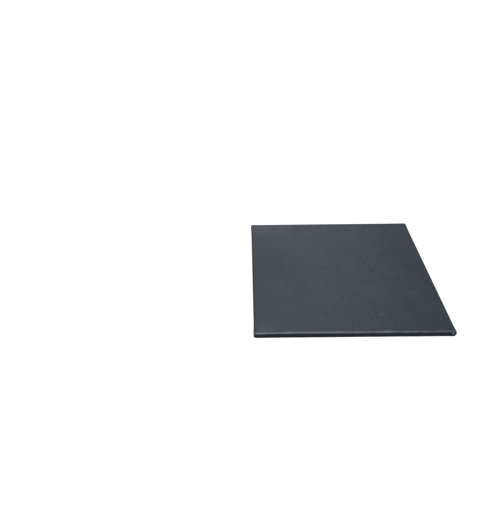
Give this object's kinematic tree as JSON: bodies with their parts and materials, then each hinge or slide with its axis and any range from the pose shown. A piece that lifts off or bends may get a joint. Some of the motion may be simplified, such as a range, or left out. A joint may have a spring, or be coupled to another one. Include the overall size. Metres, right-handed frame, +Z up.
{
  "type": "rubber mat",
  "caption": "Square floor mat of pressed rubber crumb, laid flat, with a fine smooth top, rounded upper edges and straight sides that butt against the next mat.",
  "frame": {"origin": "middle of the underside, on the floor that the mat lies on", "axes": "+Z up, from the underside to the walked-on top face; X and Y run along the four straight sides"},
  "size_m": [0.5, 0.5, 0.015],
  "materials": {
    "crumb_rubber": "matte"
  },
  "bodies": {
    "root": {"rubber_mat": "crumb_rubber"}
  },
  "joints": []
}
